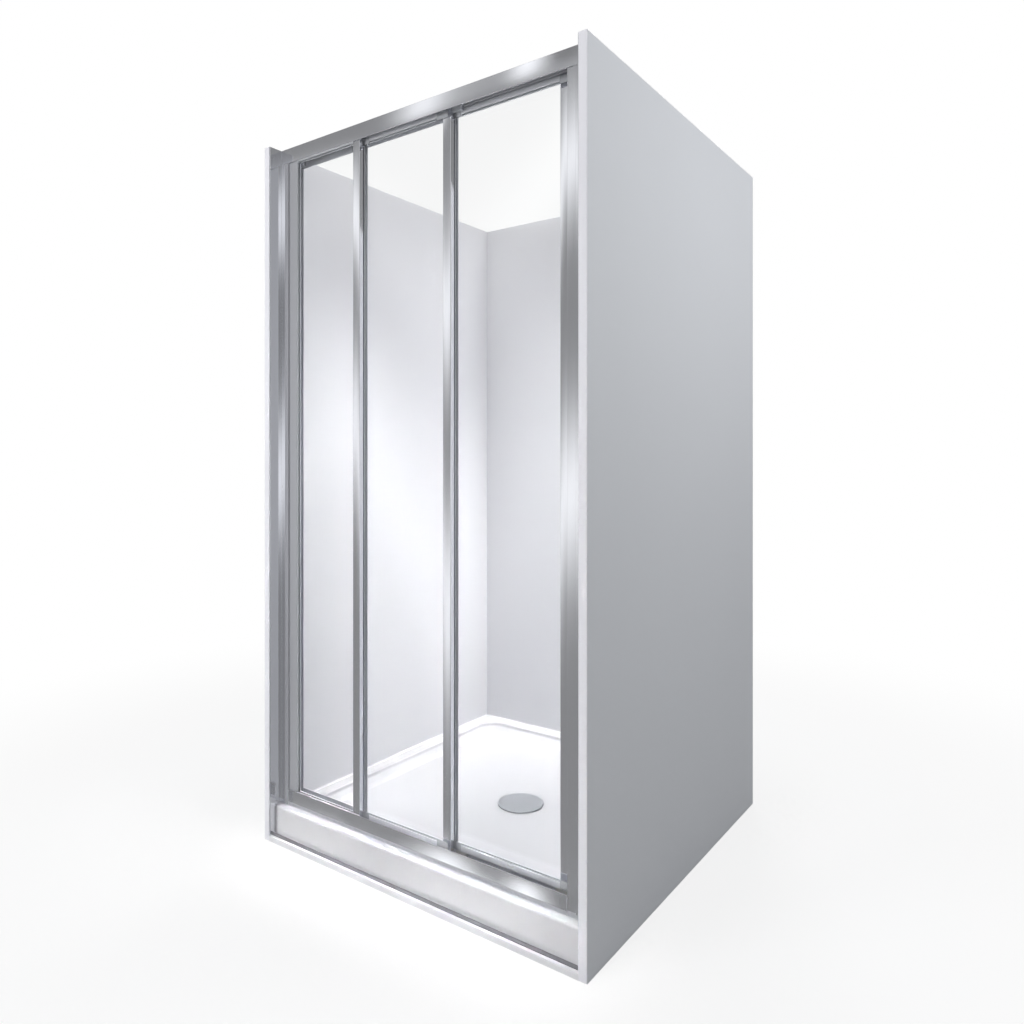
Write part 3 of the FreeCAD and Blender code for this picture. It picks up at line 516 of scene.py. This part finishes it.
def shower_tray():
    """Acrylic tray: rim, basin with a sloping foot, floor that falls to the waste, raised front ledge."""
    tray = block("shower_tray", TRAY_LOW, (TRAY_HIGH.x, TRAY_HIGH.y, RIM))
    pick_faces(tray, lambda middle, normal: normal.z < -0.9)
    bpy.ops.mesh.inset(thickness=APRON)
    rise(UNDERSIDE - TRAY_LOW.z)
    bpy.ops.mesh.delete(type="ONLY_FACE")
    pick_faces(tray, lambda middle, normal: normal.z > 0.9 and near(middle.z, RIM))
    bpy.ops.mesh.delete(type="ONLY_FACE")

    size = BASIN_HIGH - BASIN_LOW
    middle = (BASIN_LOW + BASIN_HIGH) / 2
    bpy.ops.mesh.select_mode(type="VERT")
    bpy.ops.mesh.select_all(action="DESELECT")
    bpy.ops.mesh.primitive_plane_add(size=1, location=middle)
    bpy.ops.transform.resize(value=(size.x, size.y, 1), center_override=middle)
    bpy.ops.mesh.bevel(offset=BASIN_CORNER, segments=CORNER_STEPS, affect="VERTICES")
    bpy.ops.mesh.delete(type="ONLY_FACE")
    pick_edges(tray, lambda end: near(end.z, RIM))
    bpy.ops.mesh.fill()

    pick_edges(tray, lambda end: near(end.z, RIM) and in_basin(end))
    unpick_edges(tray, lambda edge: len(edge.link_faces) != 1)
    rise(WALL_FOOT - RIM)
    rise(BASIN_FLOOR - WALL_FOOT)
    floor_x, floor_y = size.x - 2 * FOOT_SLOPE, size.y - 2 * FOOT_SLOPE
    bpy.ops.transform.resize(value=(floor_x / size.x, floor_y / size.y, 1),
                             center_override=(middle.x, middle.y, BASIN_FLOOR))

    bpy.ops.mesh.select_mode(type="VERT")
    bpy.ops.mesh.select_all(action="DESELECT")
    bpy.ops.mesh.primitive_circle_add(vertices=4 * (CORNER_STEPS + 1), radius=RECESS,
                                      location=(0, 0, FLOOR_AT_WASTE), rotation=(0, 0, RECESS_TURN))
    pick_edges(tray, lambda end: near(end.z, FLOOR_AT_WASTE) or
               (near(end.z, BASIN_FLOOR) and in_basin(end)))
    bpy.ops.mesh.bridge_edge_loops()

    pick_edges(tray, lambda end: near(end.z, FLOOR_AT_WASTE))
    for share, level in WASTE_STEPS:
        lowest = min(vertex.co.z for vertex in bmesh.from_edit_mesh(tray.data).verts if vertex.select)
        rise(level - lowest)
        bpy.ops.transform.resize(value=(share, share, 1), center_override=(0, 0, level))
    pick_edges(tray, lambda end: near(end.z, UNDERSIDE))
    bpy.ops.mesh.fill()

    bpy.ops.mesh.select_all(action="SELECT")
    bpy.ops.mesh.bisect(plane_co=(0, LEDGE_BACK, 0), plane_no=(0, 1, 0))
    pick_faces(tray, lambda centre, normal: near(centre.z, RIM) and centre.y < LEDGE_BACK)
    rise(TRAY_HIGH.z - RIM)
    bpy.ops.mesh.select_all(action="SELECT")
    bpy.ops.mesh.remove_doubles(threshold=WELD)
    bpy.ops.mesh.dissolve_limited(angle_limit=math.radians(0.1))
    bpy.ops.mesh.select_all(action="SELECT")
    bpy.ops.mesh.normals_make_consistent(inside=False)

    pick_edges(tray, lambda end: near(end.z, TRAY_HIGH.z) and near(end.y, TRAY_LOW.y))
    bpy.ops.mesh.bevel(offset=LEDGE_NOSE, segments=6, affect="EDGES")
    pick_edges(tray, lambda end: near(end.z, TRAY_HIGH.z) and near(end.y, LEDGE_BACK))
    bpy.ops.mesh.bevel(offset=LEDGE_HEEL, segments=4, affect="EDGES")

    def flat(edge):
        return all(abs(face.normal.z) > 0.99 for face in edge.link_faces)

    for level, radius, steps in BASIN_EDGES:
        pick_edges(tray, lambda end: near(end.z, level) and in_basin(end))
        unpick_edges(tray, flat)
        bpy.ops.mesh.bevel(offset=radius, segments=steps, affect="EDGES")
    finish(tray, "acrylic_tray", "enclosure", FINISHES["acrylic_tray"], "tray")


COVER_THICKNESS = 3 * MM
COVER_ROLL = 1.4 * MM
# The shallow ring in the cover, from the edge inward: (width, drop).
COVER_RING = ((9 * MM, 0), (1.2 * MM, -0.5 * MM), (1.2 * MM, 0), (1.2 * MM, 0.5 * MM))
FOOT_RADIUS, FOOT_CIRCLE, FOOT_ARRIS = 3 * MM, 50 * MM, 0.5 * MM


def waste_cover():
    """Lift-off cover: a turned disc with a rolled edge and a shallow ring, on three feet."""
    low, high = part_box("waste_cover")
    radius = (high.x - low.x) / 2
    underside = high.z - COVER_THICKNESS
    disc = start(bpy.ops.mesh.primitive_cylinder_add, "waste_cover_disc", vertices=96, radius=radius,
                 depth=COVER_THICKNESS, location=(0, 0, high.z - COVER_THICKNESS / 2))
    for inset, drop in COVER_RING:
        pick_faces(disc, lambda centre, normal: normal.z > 0.9 and centre.xy.length < MM)
        bpy.ops.mesh.inset(thickness=inset)
        bpy.ops.transform.translate(value=(0, 0, drop))
    pick_edges(disc, lambda end: near(end.z, high.z) and end.xy.length > radius - 0.1 * MM)
    bpy.ops.mesh.bevel(offset=COVER_ROLL, segments=4, affect="EDGES")
    feet = []
    for turn in range(3):
        angle = math.radians(120 * turn)
        place = (FOOT_CIRCLE * math.cos(angle), FOOT_CIRCLE * math.sin(angle), (underside + low.z) / 2)
        foot = start(bpy.ops.mesh.primitive_cylinder_add, "cover_foot", vertices=24, radius=FOOT_RADIUS,
                     depth=underside - low.z, location=place)
        pick_edges(foot, lambda end: near(end.z, low.z))
        bpy.ops.mesh.bevel(offset=FOOT_ARRIS, segments=2, affect="EDGES")
        feet.append(foot)
    finish(joined("waste_cover_disc", [disc] + feet), "waste_metal", "enclosure",
           FINISHES["waste_metal"], "waste_cover")


# ---------------------------------------------------------------- every piece

UPRIGHTS = {
    "fixed": ("outer_stile", "inner_stile"),
    "middle": ("outer_stile", "inner_stile"),
    "door": ("trailing_stile", "leading_stile"),
}

for node, piece in frame["nodes"].items():
    if not piece.material_slots:
        piece.data.materials.append(None)
    for slot in piece.material_slots:
        slot.material = FINISHES[SLOT_OF[node]]

edge_bands()
silicone_beads()
shower_tray()
waste_cover()
for node in ("left_liner", "right_liner", "back_liner"):
    eased(node, 0.6)
eased("left_channel", 0.6, LIPPED_ALUMINIUM)
for node in ("right_channel", "closing_jamb"):
    eased(node, 0.6, UPRIGHT_ALUMINIUM)
for node in ("head_rail", "sill_rail"):
    eased(node, 0.6, RAIL_ALUMINIUM)
for panel, uprights in UPRIGHTS.items():
    for upright in uprights:
        satin = panel == "fixed" and upright == "outer_stile"
        eased(f"{panel}_{upright}", 0.8, SATIN_ALUMINIUM if satin else UPRIGHT_ALUMINIUM)
    for rail in ("top_rail", "bottom_rail"):
        eased(f"{panel}_{rail}", 0.8, RAIL_ALUMINIUM)
    eased(f"{panel}_glass", 0.7, steps=1)
for panel in ("middle", "door"):
    eased(f"{panel}_corner_plates", 0.3)
    eased(f"{panel}_carriers", 0.3)
    eased(f"{panel}_guides", 0.6)
    for side in ("left", "right"):
        eased(f"{panel}_{side}_roller", 0.4, shortest=0)
# The plinth trim's dark grey is painted shade, standing for the shadow under the tray's front.
eased("plinth_trim", 0.6)
eased("channel_screws", 0.3, shortest=0)


# ---------------------------------------------------------------- light, floor and camera

AMBIENT = 0.25
ROOM, BOX_STRENGTH = 0.285, 0.8  # the room that polished surfaces mirror, and the boxes in it
FADE_START, FADE_END = 0.8, 2.8  # metres from the middle, where the floor turns white
# Level boxes, mirrored by the uprights. Each stop is (degrees round from straight ahead, degrees above the
# horizon), and for a width (degrees round, degrees high).
UPPER_BOX = ((0, 21.8), (31.2, 21.8), (40.4, 10.0), (46.9, 17.5), (52.4, 16.5), (180, 18))
UPPER_WIDTH = ((0, 2.5), (31.2, 2.5), (40.4, 4.0), (46.9, 2.3), (52.4, 1.8), (180, 3))
LOWER_BOX = ((0, -2.0), (31.2, -2.0), (40.4, -11.8), (46.9, 3.6), (52.4, -1.4), (180, -2))
LOWER_WIDTH = ((0, 4.4), (31.2, 4.4), (40.4, 5.0), (46.9, 3.8), (52.4, 3.0), (180, 4))
# Upright boxes, mirrored by the head rail, the sill and the tray's front: (degrees round, width, strength).
RAIL_BOXES = ((42.3, 1.15, 1.15), (34.5, 0.8, 1.6), (38.9, 1.9, 0.22), (32.4, 0.8, -0.22))
SILL_BOXES = ((40.5, 1.25, 1.2), (34.5, 0.8, 1.6), (32.4, 0.8, -0.22))
LEDGE_BOXES = ((38.6, 3.4, 3.6), (50.2, 1.8, 2.0))


def studio_floor():
    """Pale floor that keeps the object's shadow and turns white away from it."""
    leave_edit()
    deselect()
    bpy.ops.mesh.primitive_plane_add(size=40)
    floor = bpy.context.object
    floor.name = "studio_floor"
    made, nodes = material("studio_floor")
    camera = nodes.add("ShaderNodeLightPath", output="Is Camera Ray")
    seen = maths("MINIMUM", camera + camera.other("Is Transmission Ray"), 1.0)
    spread = nodes.add("ShaderNodeVectorMath", {"operation": "LENGTH"}, {0: nodes.place()}, output="Value")
    far = nodes.step(spread, FADE_START, FADE_END)
    matt = nodes.add("ShaderNodeBsdfDiffuse", {}, {
        "Color": nodes.blend(seen, (0.4, 0.4, 0.4, 1), (0.8, 0.8, 0.81, 1))})
    white = nodes.add("ShaderNodeEmission", {}, {"Color": (1, 1, 1, 1), "Strength": 1.0})
    floor_seen = nodes.mixed(seen * (far * 0.2 + 0.8), matt, white)
    clear = nodes.add("ShaderNodeBsdfTransparent")
    nodes.surface(nodes.mixed(camera.other("Is Glossy Ray"), floor_seen, clear))
    floor.data.materials.append(made)


def studio_world():
    """Even pale light, and for polished surfaces a set of soft bright boxes in a dimmer room."""
    world = bpy.data.worlds.new("studio")
    bpy.context.scene.world = world
    nodes = Nodes(world)
    camera = nodes.add("ShaderNodeLightPath", output="Is Camera Ray")
    parts = nodes.add("ShaderNodeSeparateXYZ", {}, {0: nodes.add("ShaderNodeTexCoord", output="Generated")})
    east, north, up = parts, parts.other("Y"), parts.other("Z")
    height = maths("ARCSINE", up) * DEGREES
    turn = maths("ABSOLUTE", maths("ARCTAN2", east * -1, north * -1)) * DEGREES

    def swell(value, middle, width):
        """A soft hump: 1 at its middle, falling away over its width."""
        off = (value - middle) / width
        return maths("EXPONENT", off * off * -0.5)

    def along(stops, full=60.0, least=-20.0):
        """A number of degrees that changes with the direction looked at."""
        shares = [(turned / 180, (value - least) / full) for turned, value in stops]
        return nodes.ramp(turn / 180.0, *shares) * full + least

    def row(boxes):
        """Upright boxes side by side."""
        return sum(swell(turn, middle, width) * strength for middle, width, strength in boxes)

    bands = maths("MINIMUM", swell(height, along(UPPER_BOX), along(UPPER_WIDTH)) +
                  swell(height, along(LOWER_BOX), along(LOWER_WIDTH)), 1.0)
    # The lines, bent with the direction, past which only a rail or the tray's front mirrors the room.
    over_rail = nodes.step(height + turn * 0.37, 38.5, 39.2)
    under_sill = nodes.step(turn * 0.32 - height, 39.0, 39.7)
    under_ledge = nodes.step(turn * 0.389 - height, 43.9, 44.3)
    facing_front = 1.0 - nodes.step(turn, 62.0, 75.0)
    over_ground = nodes.step(height, -38.0, -34.0)
    boxes = (bands * facing_front * (1.0 - over_rail) + row(RAIL_BOXES) * over_rail +
             row(SILL_BOXES) * (under_sill - under_ledge) * over_ground +
             row(LEDGE_BOXES) * under_ledge * over_ground)

    def sky(tint, strength):
        return nodes.add("ShaderNodeBackground", {}, {"Color": tint, "Strength": strength})

    lit = nodes.mixed(camera.other("Is Glossy Ray"), sky((0.97, 0.98, 1, 1), AMBIENT),
                      sky((0.985, 0.99, 1, 1), boxes * BOX_STRENGTH + ROOM))
    seen = maths("MINIMUM", camera + camera.other("Is Transmission Ray"), 1.0)
    nodes.surface(nodes.mixed(seen, lit, sky((1, 1, 1, 1), 1.0)), "ShaderNodeOutputWorld")


def soft_box(name, place, aim, size, power, spread=180, along=(1, 0, 0)):
    """A flat lamp with a diffuser, pointed at a place, its long side turned along a direction."""
    lamp = bpy.data.lights.new(name, "AREA")
    lamp.shape, lamp.size, lamp.size_y = "RECTANGLE", size[0], size[1]
    lamp.energy, lamp.spread = power, math.radians(spread)
    holder = bpy.data.objects.new(name, lamp)
    bpy.context.scene.collection.objects.link(holder)
    back = (Vector(place) - Vector(aim)).normalized()
    across = (Vector(along) - back * back.dot(Vector(along))).normalized()
    holder.location = place
    holder.rotation_euler = Matrix((across, back.cross(across), back)).transposed().to_euler()
    holder.visible_glossy = holder.visible_camera = False


def studio_camera():
    lens = bpy.data.cameras.new("camera")
    lens.sensor_width, lens.lens, lens.sensor_fit = 36, 27.29, "HORIZONTAL"
    lens.shift_y = -0.0511
    camera = bpy.data.objects.new("camera", lens)
    bpy.context.scene.collection.objects.link(camera)
    camera.location = (1.2863, -1.8409, 1.0434)
    camera.rotation_euler = (math.radians(90), 0, math.radians(35.583))
    bpy.context.scene.camera = camera


ALONG_LINING = (0.17, 0.98, -0.07)  # lays the sheen aslant across the left lining
# Each lamp: its place, what it points at, its size, its power in watts and, where they aren't the usual
# ones, its spread in degrees and the direction of its long side.
LAMPS = {
    "front_left_box": ((-2.2, -4.5, 1.6), (0, -0.5, 0.9), (1.5, 1.5), 112),
    "front_low_box": ((0.3, -3.4, 0.5), (0, -0.5, 0.2), (1.6, 0.6), 4),
    "front_high_box": ((0.1, -2.2, 3.4), (0, -0.5, 0.6), (1.6, 0.8), 12),
    "ledge_strip": ((0, -0.95, 3.9), (0, -0.47, 0.09), (1.0, 0.12), 1.3, 9),
    "overhead_box": ((0, 0, 3.9), (0, 0, 0), (0.8, 0.8), 6.6, 50),
    "side_box": ((2.5, 1.0, 3.4), (0.5, 0.1, 1.2), (1.2, 1.2), 28),
    "side_strip": ((2.1, 0.05, 1.85), (0.5, 0.05, 1.6), (1.6, 0.3), 6.5, 140, (0, 1, 0)),
    "lining_strip": ((0.38, 0.14, 2.9), (-0.487, 0.14, 0.8), (1.1, 0.12), 0.66, 16, ALONG_LINING),
    "lining_foot_strip": ((0.38, -0.03, 2.9), (-0.487, -0.03, 0.4), (1.3, 0.2), 2.1, 24, ALONG_LINING),
    "back_strip": ((0.1, -0.15, 3.2), (0.1, 0.477, 0.4), (0.8, 0.1), 1.2, 18),
    "corner_box": ((0, 0, 3.3), (-0.487, 0.477, 0.65), (0.3, 0.3), 0.28, 16),
    "rear_box": ((-1.2, 3.6, 2.6), (0, 0.5, 1.0), (1.5, 1.5), 60),
}

studio_floor()
studio_world()
studio_camera()
for name, settings in LAMPS.items():
    soft_box(name, *settings)

bpy.context.scene.view_settings.view_transform = "Standard"
